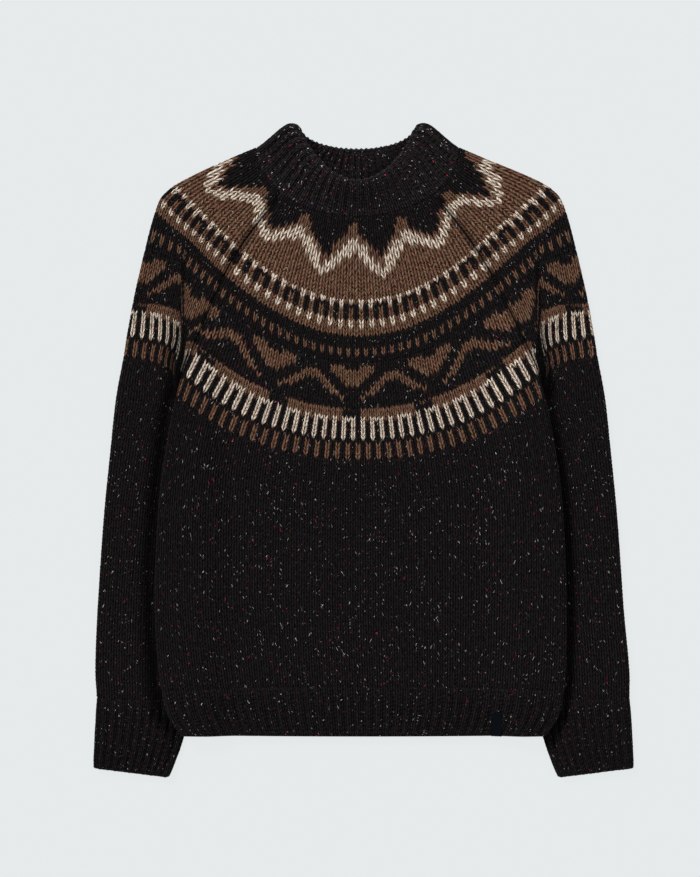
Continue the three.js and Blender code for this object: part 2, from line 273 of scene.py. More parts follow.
FRONT_FOLDS: Tuple[Fold, ...] = (
    Fold((-150, 395), (-60, 330), 1.5, 15),
    Fold((158, 398), (70, 318), 1.3, 17),
    Fold((-128, 330), (-108, 120), 0.9, 13),
    Fold((96, 300), (122, 90), 1.0, 16),
    Fold((-30, 250), (-52, 60), 0.7, 19),
    Fold((35, 210), (20, 40), 0.6, 15),
    Fold((-170, 230), (-150, 60), -0.7, 12),
    Fold((150, 190), (164, 55), -0.6, 11),
)
BACK_FOLDS: Tuple[Fold, ...] = (
    Fold((-140, 390), (-70, 300), -0.6, 17),
    Fold((150, 380), (60, 310), -0.6, 15),
)
LEFT_SLEEVE_FOLDS: Tuple[Fold, ...] = (
    Fold((222, 500), (206, 400), -0.9, 9),
    Fold((262, 330), (226, 296), 1.1, 8),
    Fold((268, 262), (222, 236), -0.8, 9),
    Fold((240, 250), (246, 120), 0.9, 12),
    Fold((274, 120), (232, 98), 0.8, 9),
    Fold((225, 190), (222, 60), -0.6, 8),
)
RIGHT_SLEEVE_FOLDS: Tuple[Fold, ...] = (
    Fold((228, 505), (210, 396), -0.8, 10),
    Fold((260, 318), (224, 280), 1.0, 9),
    Fold((244, 270), (250, 150), 0.8, 11),
    Fold((272, 178), (226, 150), -0.8, 8),
    Fold((275, 96), (236, 84), 0.9, 7),
    Fold((226, 230), (224, 90), -0.5, 9),
)


@dataclass
class Cloth:
    """A smooth face of cloth, drawn on rows down and a share across.

    Args:
        first: The knitting row of the first line of points.
        step: Rows from one line to the next.
        points: Lines of points in the row frame, in millimetres.
        shares: The share across at each column.
        outward: 1 where columns crossed with lines point outwards, else -1.
        drift: Moves knitted rows and shares to where the worn cloth has them.
        painted_shade: Gives the shade painted into the colour at a place, as the share of light
            that it lacks, from 0 to 1.
    """

    first: float
    step: float
    points: np.ndarray
    shares: np.ndarray
    outward: float
    drift: Optional[Callable[[np.ndarray, np.ndarray], Tuple[np.ndarray, np.ndarray]]] = None
    painted_shade: Optional[Callable[[np.ndarray], np.ndarray]] = None
    normals: np.ndarray = field(init=False)

    def __post_init__(self) -> None:
        """Works out the outward direction at each point."""
        down = np.gradient(self.points, axis=0)
        across = np.gradient(self.points, axis=1)
        normal = np.cross(down, across) * self.outward
        length = np.linalg.norm(normal, axis=2, keepdims=True)
        self.normals = normal / np.maximum(length, 1e-9)

    def _blend(self, grid: np.ndarray, row: np.ndarray, share: np.ndarray) -> np.ndarray:
        """Reads a grid of vectors between its points.

        Args:
            grid: Vectors at the cloth's points.
            row: Knitting rows.
            share: Shares across.

        Returns:
            A vector for each row and share.
        """
        v = np.clip((row - self.first) / self.step, 0, len(grid) - 1.001)
        u = np.interp(share, self.shares, np.arange(len(self.shares)))
        u = np.clip(u, 0, grid.shape[1] - 1.001)
        i, j = v.astype(int), u.astype(int)
        a, b = (v - i)[..., None], (u - j)[..., None]
        upper = grid[i, j] * (1 - b) + grid[i, j + 1] * b
        lower = grid[i + 1, j] * (1 - b) + grid[i + 1, j + 1] * b
        return upper * (1 - a) + lower * a

    def at(self, row: np.ndarray, share: np.ndarray, raised: np.ndarray) -> np.ndarray:
        """Points of the cloth, moved out along its outward direction.

        Args:
            row: Knitting rows.
            share: Shares across.
            raised: How far each point is moved out.

        Returns:
            Points in the row frame, in millimetres.
        """
        outward = self._blend(self.normals, row, share)
        return self._blend(self.points, row, share) + outward * raised[..., None]


Chart = Callable[[np.ndarray, np.ndarray, np.ndarray], np.ndarray]


@dataclass(frozen=True)
class Zone:
    """Rows that are knitted with one number of stitches.

    Args:
        top: Its first row.
        bottom: The row after its last.
        wales: Stitches across.
        fabric: How the stitches are worked.
        start: The share across where it begins.
        end: The share across where it ends.
        shift: Moves the colours across, in stitches.
        rim: A row where the cloth turns over, with its wrong side before it.
        edge_relief: How much of its relief stays at the rim.
        seam: The row where its ribs begin.
        rim_highlight: How much highlight is painted into the colour along its rim, as more light
            than it catches.
        depth: How much shade is painted into the valleys between its ribs.
    """

    top: int
    bottom: int
    wales: int
    fabric: Fabric = Fabric.STOCKING
    start: float = -1.0
    end: float = 1.0
    shift: int = 0
    rim: float = -99.0
    edge_relief: float = 0.3
    seam: float = -99.0
    rim_highlight: float = 0.0
    depth: float = 1.3


# The colour patterns, each a rule on the row and stitch of a small repeat.
CHECK_ROWS = 21
DOT_ROWS = 33
LATTICE_ROWS = 37
COMB_ROWS = 48
PLAIN_ROWS = 61


def zigzag(row: np.ndarray, turn: np.ndarray, swing: float, thick: float) -> np.ndarray:
    """The zigzag under the neckband, on a dark ground above and a brown one below.

    Args:
        row: Knitting rows from the neck.
        turn: Turns of the zigzag, whole at its peaks.
        swing: How many rows its round peaks stand above its troughs.
        thick: How many rows deep it is at its peaks.

    Returns:
        The yarn of each stitch.
    """
    wave = np.abs(np.cos(np.pi * turn))
    line = ZIGZAG_ROW + 0.5 * swing - swing * wave
    beside = np.abs((turn + 0.5) % 1.0 - 0.5)
    spike = SPIKE_ROWS * np.clip(1 - beside / SPIKE_TURN, 0, 1)
    thick = thick + 0.5 * np.abs(np.sin(2 * np.pi * turn))
    yarn = np.where(row < line - 1.3 - spike, Yarn.DARK.value, Yarn.BROWN.value)
    return np.where((row >= line) & (row < line + thick), Yarn.CREAM.value, yarn)


def checks(row: np.ndarray, stitch: np.ndarray) -> np.ndarray:
    """The narrow cream and dark checks on brown.

    Args:
        row: Rows from the top of the checks.
        stitch: Stitches across.

    Returns:
        The yarn of each stitch.
    """
    dark, brown, cream = (yarn.value for yarn in Yarn)
    repeat = (
        (cream, brown, cream, brown, cream, brown),
        (dark, dark, cream, dark, cream, dark),
        (brown, dark, brown, dark, brown, dark),
        (brown, dark, brown, dark, brown, dark),
        (brown, dark, brown, dark, brown, dark),
        (cream, brown, cream, brown, cream, brown),
        (cream, brown, cream, brown, cream, brown),
        (brown, brown, brown, brown, brown, brown),
    )
    return np.array(repeat)[np.clip(row, 0, 7), stitch % 6]


def lattice(row: np.ndarray, stitch: np.ndarray) -> np.ndarray:
    """Brown triangles and chevrons on dark, over strips of brown.

    Args:
        row: Rows from the top of the lattice.
        stitch: Stitches across, 0 in the middle of a triangle.

    Returns:
        The yarn of each stitch.
    """
    off = np.abs((stitch + 8) % 16 - 8)
    row = np.clip(row, 0, 11)
    wide = np.array([-1, 4, 4, 3, 2, 1, -1, -1, -1, -1, -1, -1])
    notch = np.array([-1, 1, -1, -1, -1, -1, -1, -1, -1, -1, -1, -1])
    triangle = (off <= wide[row]) & (off > notch[row])
    top = np.array([99, 99, 8, 7, 6, 5, 4, 3, 3])[off]
    deep = np.array([0, 0, 1, 1, 2, 2, 2, 2, 2])[off]
    chevron = (row >= top) & (row < top + deep)
    return np.where(triangle | chevron, Yarn.BROWN.value, Yarn.DARK.value)


def comb(row: np.ndarray, stitch: np.ndarray, gap: int) -> np.ndarray:
    """Brown strips over cream bars in pairs and singles, with brown bars between below.

    Args:
        row: Rows from the top of the strips.
        stitch: Stitches across.
        gap: The first stitch of a gap between two strips.

    Returns:
        The yarn of each stitch.
    """
    place = stitch % 6
    bars = (row >= 2) & (row < 8)
    cream = bars & ((place % 2 == 0) | ((row == 2) & (place == 1)))
    strip = (row < 3) & ((stitch - gap) % 16 >= 4)
    brown = (place % 2 == 1) & (row >= 9)
    yarn = np.where(strip | brown, Yarn.BROWN.value, Yarn.DARK.value)
    return np.where(cream, Yarn.CREAM.value, yarn)


CREASE_SHADE_SHARE = 0.21  # the share of a sleeve in its crease beside the body, where the comb is painted dark as the crease's shade


@dataclass(frozen=True)
class Yoke:
    """The yoke's colours on one piece, and the dark ground around them.

    Args:
        turn: The zigzag's turn at share 0.
        rate: Its turns for a unit of share.
        swing: How many rows the zigzag's peaks stand above its troughs.
        gap: The first stitch of a gap between two of the comb's strips.
        thick: How many rows deep the zigzag is at its peaks.
        crease_shade_end: The share where the cloth comes out of the crease beside the body; the
            comb just before it is painted dark as the crease's shade.
        rolled: The share beyond which it is rolled under.
    """

    turn: float
    rate: float
    swing: float
    gap: int
    thick: float = 2.0
    crease_shade_end: float = -9.0
    rolled: float = 9.0

    def __call__(self, row: np.ndarray, stitch: np.ndarray, share: np.ndarray) -> np.ndarray:
        """Gives stitches their yarn.

        Args:
            row: Knitting rows from the neck.
            stitch: Stitches across.
            share: Shares across.

        Returns:
            The yarn of each stitch.
        """
        dots = (row >= DOT_ROWS) & (row < DOT_ROWS + 2) & (stitch % 2 == 0)
        yarn = zigzag(row + 0.5, self.turn + self.rate * share, self.swing, self.thick)
        yarn = np.where(row >= CHECK_ROWS, checks(row - CHECK_ROWS, stitch), yarn)
        yarn = np.where(row >= CHECK_ROWS + 9, Yarn.DARK.value, yarn)
        yarn = np.where(dots, Yarn.BROWN.value, yarn)
        yarn = np.where(row >= LATTICE_ROWS, lattice(row - LATTICE_ROWS, stitch), yarn)
        yarn = np.where(row >= COMB_ROWS, comb(row - COMB_ROWS, stitch, self.gap), yarn)
        # Painted shade: dark yarn in place of the comb in the crease
        tucked = (row >= COMB_ROWS) & (share > self.crease_shade_end - CREASE_SHADE_SHARE) & (share < self.crease_shade_end)
        tucked = tucked | ((row >= COMB_ROWS + 4) & (np.abs(share) > self.rolled))
        return np.where(tucked | (row >= PLAIN_ROWS), Yarn.DARK.value, yarn)


def plain(row: np.ndarray, stitch: np.ndarray, share: np.ndarray) -> np.ndarray:
    """Dark tweed all over.

    Args:
        row: Knitting rows.
        stitch: Stitches across.
        share: Shares across.

    Returns:
        The yarn of each stitch.
    """
    return np.zeros(np.broadcast(row, stitch, share).shape, int)


# Where worn rows and stitches lie, against evenly spaced ones.
DRIFT = Courses(
    ("row", "seam", "far", "middle", "spread", "lean", "bend"),
    (
        (0, 0.0, 0.0, 0.0, 0.0, 0.0, 0.0),
        (11, -0.4, 0.0, 0.0, 0.06, 0.0, 0.0),
        (21, -0.9, 0.0, 0.0, 0.11, 0.0, 0.0),
        (26, -2.1, 0.6, 0.1, 0.11, 0.0, 0.0),
        (33, -2.6, 0.0, 0.3, 0.05, 0.0, 0.0),
        (38, -2.1, -0.7, -0.3, 0.09, 0.0, 0.0),
        (41, -1.4, -1.0, -0.5, 0.10, 0.0, 0.05),
        (45, 0.3, -1.3, 0.0, 0.10, 0.0, 0.10),
        (50, 1.8, -1.4, 0.5, 0.095, 0.0, 0.15),
        (56, 3.8, -0.7, 0.0, 0.08, 0.035, 0.55),
        (61, 4.4, -0.2, 0.0, 0.07, 0.07, 0.85),
        (72, 4.1, 0.0, 0.0, 0.05, 0.07, 0.60),
        (95, 1.8, 0.0, 0.0, 0.0, 0.03, 0.15),
        (118, 0.0, 0.0, 0.0, 0.0, 0.0, 0.0),
    ),
)


def drifts(row: np.ndarray) -> Dict[str, np.ndarray]:
    """Reads the drift table at knitting rows.

    Args:
        row: Knitting rows.

    Returns:
        Each of its columns.
    """
    columns = np.array(DRIFT.rows, float).T
    return {name: np.interp(row, columns[0], column) for name, column in zip(DRIFT.names, columns)}


def body_drift(row: np.ndarray, share: np.ndarray) -> Tuple[np.ndarray, np.ndarray]:
    """Moves rows and shares of a body panel.

    Args:
        row: Knitting rows.
        share: Shares across, from -1 to 1.

    Returns:
        Where they lie.
    """
    by = drifts(row)
    out = np.abs(share)
    near = np.clip((out - 0.3) / 0.7, 0, 1) ** 1.3
    moved = row + by["seam"] * near + by["middle"] * (1 - near)
    leant = by["lean"] * out**2 * (1 - out**6)
    return moved, share - by["spread"] * share * (1 - share**2) + np.sign(share) * leant


def sleeve_drift(row: np.ndarray, share: np.ndarray) -> Tuple[np.ndarray, np.ndarray]:
    """Moves rows and shares of a sleeve.

    Args:
        row: Knitting rows.
        share: Shares across, 0 at the seam, 1 at the outer fold, 2 below.

    Returns:
        Where they lie.
    """
    by = drifts(row)
    out = np.where(share <= 1, share, 2 - share)
    near = np.clip(1 - out / 0.65, 0, 1)
    moved = row + by["seam"] * near + by["far"] * smooth(out, 0.3, 0.8)
    bent = np.clip(out, 0, 1) ** (1 + by["bend"])
    return moved, np.where(share <= 1, bent, 2 - bent)


@dataclass
class Knitter:
    """Knits zones of stitches on a cloth and joins them into one piece.

    Args:
        name: The piece's name.
        materials: The yarns, in the order of Yarn.
        seed: Makes the small differences between stitches.
        parts: The objects made so far.
    """

    name: str
    materials: Sequence[bpy.types.Material]
    seed: int
    parts: List[bpy.types.Object] = field(default_factory=list)

    def _grid(self, columns: int, lines: int) -> bpy.types.Object:
        """Adds a plain grid to be shaped.

        Args:
            columns: Faces across.
            lines: Faces down.

        Returns:
            The new object, with its materials.
        """
        bpy.ops.object.select_all(action="DESELECT")
        bpy.ops.mesh.primitive_grid_add(x_subdivisions=columns, y_subdivisions=lines, size=1.0)
        made = bpy.context.object
        made.name = f"{self.name}_{len(self.parts)}"
        for material in self.materials:
            made.data.materials.append(material)
        self.parts.append(made)
        return made

    def _shape(
        self,
        made: bpy.types.Object,
        points: np.ndarray,
        across: np.ndarray,
        down: np.ndarray,
        painted_shade: np.ndarray,
    ) -> None:
        """Moves a grid's points into place, and writes its stitch coordinates.

        Args:
            made: The grid.
            points: Lines of points in millimetres.
            across: Each point's stitch across.
            down: Each point's row.
            painted_shade: The shade painted into the colour at each point, as the share of light
                that it lacks, below 0 for a painted highlight where it catches more.
        """
        mesh = made.data
        shade_paint = mesh.attributes.new("painted_shade", "FLOAT", "POINT")
        shade_paint.data.foreach_set("value", painted_shade.astype(np.float32).ravel())
        mesh.vertices.foreach_set("co", (points * MM).astype(np.float32).ravel())
        corner = np.zeros(len(mesh.loops), np.int32)
        mesh.loops.foreach_get("vertex_index", corner)
        stitches = np.stack([across.ravel(), down.ravel()], axis=1)[corner]
        mesh.uv_layers.active.name = "stitches"
        mesh.uv_layers.active.data.foreach_set("uv", stitches.astype(np.float32).ravel())
        mesh.update()

    def knit(self, cloth: Cloth, zone: Zone, chart: Chart) -> None:
        """Knits one zone, a leaning leg on each side of every stitch.

        Args:
            cloth: The face that the stitches lie on.
            zone: Where and how they are worked.
            chart: Gives each stitch its yarn.
        """
        luck = np.random.default_rng(self.seed + zone.top)
        rows = zone.bottom - zone.top + 1  # the last row is tucked behind the next zone
        columns, lines = 4 * zone.wales, 2 * rows
        j, i = np.meshgrid(np.arange(columns + 1), np.arange(lines + 1))
        u, v = j / 4.0, i / 2.0
        inside = u - np.floor(u)
        spread = np.abs(inside - 0.5) * 2
        tucked = smooth(v, rows - 1.6, rows - 0.8)
        wander = np.cumsum(luck.normal(0, 0.02, (lines + 1, zone.wales + 1)), axis=0)
        stitch_no = np.clip(np.floor(u).astype(int), 0, zone.wales)
        line_no = np.broadcast_to(np.arange(lines + 1)[:, None], u.shape)
        wander -= wander.mean(axis=0, keepdims=True)
        still = 1 - np.exp(-(((v + zone.top - zone.rim) / 1.6) ** 2))
        leaning = LEG * (0.5 - spread) * still
        relief = np.choose(j % 4, KNIT_RELIEF)
        relief = relief + np.where(i % 2 == 1, 0.10, -0.15) * (j % 2)
        if zone.fabric is Fabric.RIB:
            purl = (stitch_no % 2 == 1) ^ (v + zone.top < zone.rim)
            relief = np.where(purl, np.choose(j % 4, PURL_RELIEF), relief * 0.6 + 0.7)
            edge = zone.edge_relief + (1 - zone.edge_relief) * still
            relief = np.where((j % 4) == 0, RIB_EDGE, relief) * edge
            leaning = np.where(purl, -0.4 * leaning, leaning)
            # Painted shade in the purl valleys between the ribs, scaled by the zone's depth
            valley = zone.depth * np.choose(j % 4, PURL_PAINTED_SHADE)
            painted_shade = np.where(purl, valley, np.choose(j % 4, KNIT_PAINTED_SHADE))
            ribbed = smooth(np.abs(v + zone.top - zone.seam), 0, 4) * np.ones(u.shape)
            # Painted highlight along the rim: it takes the painted shade below 0, which brightens
            # the colour
            rim_highlight_band = np.exp(-(((v + zone.top - zone.rim - 0.9) / 1.7) ** 2))
            painted_shade = painted_shade * ribbed * (0.3 + 0.7 * still) - zone.rim_highlight * (0.5 + 0.6 * rim_highlight_band)
            relief = relief * (0.4 + 0.6 * ribbed)
        elif zone.bottom <= PLAIN_ROWS:
            # Painted shade in a thin line along the seam groove at both edges of the zone
            from_seam = np.minimum(u, zone.wales - u)
            painted_shade = 0.9 * np.exp(-((from_seam / 0.4) ** 2))
        else:
            painted_shade = np.zeros(u.shape)
        row = zone.top + v + leaning + 1.2 * wander[line_no, stitch_no] * (v > 0)
        relief = relief + luck.normal(0, FUZZ, u.shape) - 0.7 * tucked
        share = zone.start + (zone.end - zone.start) * u / zone.wales
        if cloth.drift:
            row, share = cloth.drift(row, share)
        made = self._grid(columns, lines)
        points = cloth.at(row, share, relief)
        points[..., 2] = np.maximum(points[..., 2], 0)  # pressed flat where it rests
        # Painted shadow from the cloth's own rule, added to the painted shade of the stitches
        if cloth.painted_shade:
            painted_shade = np.minimum(painted_shade + cloth.painted_shade(points), 0.92)
        self._shape(made, points, u + zone.shift, v + zone.top, painted_shade)
        if cloth.outward > 0:
            made.data.flip_normals()
        k, w = np.meshgrid(np.arange(lines) // 2, np.arange(columns) // 4, indexing="ij")
        middle = zone.start + (zone.end - zone.start) * (w + 0.5) / zone.wales
        yarn = chart(k + zone.top, w + zone.shift, middle)
        made.data.polygons.foreach_set("material_index", yarn.astype(np.int32).ravel())
        made.data.polygons.foreach_set("use_smooth", np.ones(yarn.size, bool))

    def lining(
        self,
        cloth: Cloth,
        first: float,
        last: float,
        lines: int,
        columns: int,
        start: float = -1.0,
        end: float = 1.0,
    ) -> None:
        """Adds the plain inside of a wall.

        Args:
            cloth: The inside face.
            first: Its first row.
            last: Its last row.
            lines: Faces down.
            columns: Faces across.
            start: The share across where it begins.
            end: The share across where it ends.
        """
        made = self._grid(columns, lines)
        shares, rows = np.linspace(start, end, columns + 1), np.linspace(first, last, lines + 1)
        share, row = np.meshgrid(shares, rows)
        ribs = 0.3 * np.cos(np.pi * np.arange(columns + 1))[None, :] * np.ones_like(row)
        # The inside is given painted shade of 0.3 all over
        self._shape(made, cloth.at(row, share, ribs), share * columns, row, np.full(row.shape, 0.3))
        if cloth.outward > 0:
            made.data.flip_normals()
        made.data.polygons.foreach_set("use_smooth", np.ones(columns * lines, bool))

    def join(
        self,
        sheet: Tuple[float, float],
        area: float,
        nodes: Sequence[str],
        slot: str,
        rests_on: Sequence[str],
    ) -> bpy.types.Object:
        """Joins the zones into the finished piece, parents it to the root and hides the CAD parts
        that it stands for.

        Args:
            sheet: The flat cut's width and length in metres; not used.
            area: The flat cut's area in square metres; not used.
            nodes: The CAD nodes that it stands for.
            slot: The name of a material slot; not used.
            rests_on: What it lies on; not used.

        Returns:
            The finished piece.
        """
        bpy.ops.object.select_all(action="DESELECT")
        for part in self.parts:
            part.select_set(True)
        bpy.context.view_layer.objects.active = self.parts[0]
        if len(self.parts) > 1:
            bpy.ops.object.join()
        made = bpy.context.view_layer.objects.active
        made.name = f"{self.name}_knit"
        made.data.name = made.name
        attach(made, "root")
        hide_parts(*nodes)
        triangles = sum(len(face.vertices) - 2 for face in made.data.polygons)
        log.info("%s: %d triangles", self.name, triangles)
        return made


def hemmed(y: np.ndarray) -> np.ndarray:
    """Turns heights above the hem into the row frame.

    Args:
        y: Heights above the hem.

    Returns:
        The same places in the row frame.
    """
    return y + HEM_Y


def leaned(x: np.ndarray, y: np.ndarray) -> np.ndarray:
    """Leans the neck and the cloth above the hem to one side, as the garment was laid down.

    Args:
        x: Distance from the centre line.
        y: Height above the hem.

    Returns:
        The leaned distance from the centre line.
    """
    neck = NECK_LEAN * smooth(y, 300, 540) * (1 - smooth(np.abs(x), 130, 200))
    return x - neck - SIDE_LEAN * smooth(y, 10, 150)


def path_points(path: np.ndarray, distance: np.ndarray) -> np.ndarray:
    """Points at distances along a path.

    Args:
        path: Points of the path.
        distance: Distances from its start.

    Returns:
        A point for each distance.
    """
    steps = np.linalg.norm(np.diff(path, axis=0), axis=1)
    run = np.concatenate([[0], np.cumsum(steps)])
    return np.stack([np.interp(distance, run, path[:, k]) for k in (0, 1)], axis=1)


def path_length(path: np.ndarray) -> float:
    """The length of a path.

    Args:
        path: Points of the path.

    Returns:
        Its length.
    """
    return float(np.linalg.norm(np.diff(path, axis=0), axis=1).sum())


def neck_arc(
    size: Dict[str, float], layer: Layer, start: float, end: float, count: int
) -> np.ndarray:
    """Part of a half ellipse round the neck.

    Args:
        size: Its half width, its fold's height, how far its front and back hang, and how
            pointed its front is.
        layer: The front or the back.
        start: The first angle, 0 at the shoulder fold.
        end: The last angle.
        count: Points along it.

    Returns:
        Its points.
    """
    angle = np.linspace(start, end, count)
    hang = np.clip(np.sin(angle), 0, 1)
    hang = size["front"] * hang ** size["power"] if layer is Layer.TOP else size["back"] * hang
    return np.stack([size["half"] * np.cos(angle), size["fold"] - hang], axis=1)


NECK_SEAM = {"half": 107.1, "fold": 619.5, "front": 72.4, "back": 52.5, "power": 1.0}
NECK_RIM = {"half": 63.0, "fold": 643.6, "front": 61.9, "back": 27.9, "power": 1.6}
NECK_SWELL = 6.5  # how far the neckband stands out along its folds
NECK_RISE = 10.0
RIM_ROW = 12.0  # the neckband's rows up its inside
RIM_THICK = 7.0
CORNER = 3.0  # how far the rim is rounded off at its folds
SEAM_GROOVE = 1.3
VALLEY = 2.6  # how far a sleeve's top sinks beside the body that lies on it
BODY_EDGE_Y = (1.6, 22.0, 49.4, 101.9, 170.1, 254.1, 327.6, 377.0)
BODY_EDGE_X = (191.6, 205.3, 211.4, 215.0, 215.3, 210.5, 199.5, 188.5)
CREASE_Y = (402.0, 446.3, 518.7)
CREASE_X = (187.0, 184.8, 180.6)
FRONT_ROWS = (NECK_TOP - BODY.read("front", np.linspace(0, 13, 521))) / ROW
WELT_ROW = 118
HEM_ROW = 130


def place_of(row: np.ndarray) -> np.ndarray:
    """The body table's place for knitting rows counted from the neck.

    Args:
        row: Knitting rows.

    Returns:
        Places in the table.
    """
    return np.interp(row, FRONT_ROWS, np.linspace(0, 13, 521))


def painted_shadow_beside_body(points: np.ndarray) -> np.ndarray:
    """The shadow painted on a sleeve beside the body that lies on it, as the share of light that it
    lacks.

    Args:
        points: Points of the sleeve.

    Returns:
        Values from 0 to 1.
    """
    height = points[..., 1] - HEM_Y
    edge = np.interp(height, BODY_EDGE_Y + CREASE_Y, BODY_EDGE_X + CREASE_X)
    beside = np.abs(points[..., 0] + SIDE_LEAN) - edge
    level = np.where(points[..., 0] < 0, 7.0, 2.0)
    shade = (1 - smooth(beside - level, 0, 17)) * smooth(beside, -6, -1)
    # Painted shadow: at most 0.75 of the light is taken from the colour
    shade = 0.75 * shade * (1 - smooth(height, 385, 470)) * smooth(height, -30, 30)
    return shade * (points[..., 2] > HALF)


def painted_shade_inside_neck(points: np.ndarray) -> np.ndarray:
    """The shade painted on the back of the neckband beside the front's rim, as the share of light
    that it lacks.

    Args:
        points: Points of the neckband.

    Returns:
        Values from 0 to 1.
    """
    across = np.clip((points[..., 0] + NECK_LEAN + SIDE_LEAN) / NECK_RIM["half"], -1, 1)
    rim = NECK_RIM["fold"] + HEM_Y - NECK_RIM["front"] * (1 - across**2) ** (NECK_RIM["power"] / 2)
    above = points[..., 1] - rim
    # Painted shade in the left corner of the neck, darker towards the left and fading away from the
    # rim
    corner = 0.5 * smooth(-points[..., 0], 20, 55) * (1 - smooth(above, 6, 30))
    return np.maximum(0.85 * (1 - smooth(above, 1, 10)), corner) * (points[..., 2] < HALF)


Line = Callable[[float, np.ndarray, float], np.ndarray]


def turned_cloth(
    line: Line,
    rows: np.ndarray,
    places: np.ndarray,
    shares: np.ndarray,
    last: float,
    outward: float,
    drift: Callable,
) -> Cloth:
    """Draws a face that turns round its last course to the inside of the wall.

    Args:
        line: Gives a line of points for a place, shares and a radius.
        rows: Evenly spaced knitting rows.
        places: Their places in the table.
        shares: Shares across.
        last: The place of the turned edge.
        outward: 1 or -1, as for Cloth.
        drift: As for Cloth.

    Returns:
        The cloth.
    """
    edge = float(np.interp(last, places, rows))
    points = []
    for row, place in zip(rows, places):
        if row <= edge:
            points.append(line(place, shares, HALF))
            continue
        swing = math.pi * min((row - edge) / TURN_ROWS, 1.0)
        radius = HALF - WALL / 2 * (1 - math.cos(swing))
        ring = line(last, shares, radius)
        away = (ring - line(last - 0.1, shares, radius)) * np.array([1, 1, 0])
        away /= np.maximum(np.linalg.norm(away, axis=1, keepdims=True), 1e-9)
        points.append(ring + away * (WALL / 2 * math.sin(swing)))
    return Cloth(rows[0], rows[1] - rows[0], np.stack(points), shares, outward, drift)


@dataclass
class BodyHalf:
    """The front or the back, with the rib below it.

    Args:
        name: The piece's name.
        layer: Which layer it is.
        folds: Its soft folds.
        seed: Makes the small differences between stitches.
    """

    name: str
    layer: Layer
    folds: Tuple[Fold, ...]
    seed: int

    def _line(self, place: float, shares: np.ndarray, radius: float) -> np.ndarray:
        """One line of points from side to side.

        Args:
            place: The place in the table.
            shares: Shares across, from -1 to 1.
            radius: Distance of the face from the middle of the two layers.

        Returns:
            The points in millimetres.
        """
        here = np.array([place])
        centre = BODY.read("front" if self.layer is Layer.TOP else "back", here)[0]
        x, y, bow = (BODY.read(name, here)[0] for name in ("x", "y", "bow"))
        closed = float(np.interp(place, (6, 7), (0, 1)))
        t = np.linspace(0, 1, 40)
        path = np.stack([x * t, centre + (y - centre) * t**bow], axis=1)
        arc = neck_arc(NECK_SEAM, self.layer, math.pi / 2, RAGLAN, 40)
        if place < 1:
            near = smooth(np.array([place]), 0, 1)[0]
            path = arc * (1 - near) + path * near
        length = path_length(path)
        turn = HALF * (math.pi / 2)
        cloth = length + closed * (turn - HALF)
        run = cloth * np.abs(shares)
        left = np.maximum(cloth - run, 0)
        angle = np.clip(left / HALF, 0, math.pi / 2)
        rolled = np.where(left < turn, HALF - radius * np.cos(angle), HALF + left - turn)
        inset = closed * rolled + (1 - closed) * (left - 0.2)
        height = radius * (closed * np.sin(angle) + 1 - closed)
        height = height - (1 - closed) * SEAM_GROOVE * np.exp(-((left / 2.6) ** 2))
        flat = path_points(path, length - inset)
        px, py = flat[:, 0], flat[:, 1]
        z = HALF + self.layer.value * height + lift(px, py)
        side = np.where(shares < 0, -1.0, 1.0)
        depth = 1 if self.layer is Layer.TOP else 0.6
        for fold in self.folds:
            z = z + fold.at(px * side, py) * np.sin(angle) ** 2 * depth
        return np.stack([leaned(px * side, py), hemmed(py), z], axis=1)

    def _cloths(self, first: float, last: float) -> Tuple[Cloth, Cloth]:
        """The face and the inside as smooth grids.

        Args:
            first: The first knitting row.
            last: The last.

        Returns:
            The face and the inside.
        """
        half = np.concatenate([np.linspace(0, 0.94, 70), np.linspace(0.945, 1, 14)])
        shares = np.concatenate([-half[:0:-1], half])
        rows = np.arange(first, last + 3, 0.25 if first > 0 else 0.5)
        places = place_of(rows)
        outward = float(self.layer.value)
        face = turned_cloth(self._line, rows, places, shares, HEM_PLACE, outward, body_drift)
        inside = np.stack([self._line(place, shares, FOLD_INSIDE) for place in places])
        return face, Cloth(rows[0], rows[1] - rows[0], inside, shares, outward)

    def build(self, yarns: Sequence[bpy.types.Material]) -> bpy.types.Object:
        """Knits the panel.

        Args:
            yarns: The three yarns.

        Returns:
            The finished panel.
        """
        face, inner = self._cloths(-1, WELT_ROW)
        knitter = Knitter(self.name, yarns, self.seed)
        zones = (
            Zone(0, CHECK_ROWS, 38, shift=-19), Zone(CHECK_ROWS, 30, 50, shift=-23),
            Zone(30, LATTICE_ROWS, 68, shift=-33), Zone(LATTICE_ROWS, COMB_ROWS, 62, shift=-29),
            Zone(COMB_ROWS, PLAIN_ROWS, 74, shift=-33), Zone(PLAIN_ROWS, WELT_ROW, 82),
        )
        for zone in zones:
            knitter.knit(face, zone, Yoke(0.09, 1.79, 4.6, 0, rolled=0.99))
        knitter.lining(inner, 0, WELT_ROW, 66, 108)
        return knitter.join((0.44, 0.52), 0.205, [self.name], "knit", ["the floor"])

    def build_welt(self, yarns: Sequence[bpy.types.Material]) -> bpy.types.Object:
        """Knits the rib below the panel.

        Args:
            yarns: The three yarns.

        Returns:
            The finished rib.
        """
        name = "front_welt" if self.layer is Layer.TOP else "back_welt"
        knitter = Knitter(name, yarns, self.seed + 50)
        face, inner = self._cloths(WELT_ROW, HEM_ROW + 3)
        zone = Zone(WELT_ROW, HEM_ROW + 1, 81, Fabric.RIB, rim=HEM_ROW + 1.0, seam=WELT_ROW)
        knitter.knit(face, zone, plain)
        knitter.lining(inner, WELT_ROW, HEM_ROW, 8, 162)
        return knitter.join((0.43, 0.055), 0.0225, [name], "rib", ["the floor"])


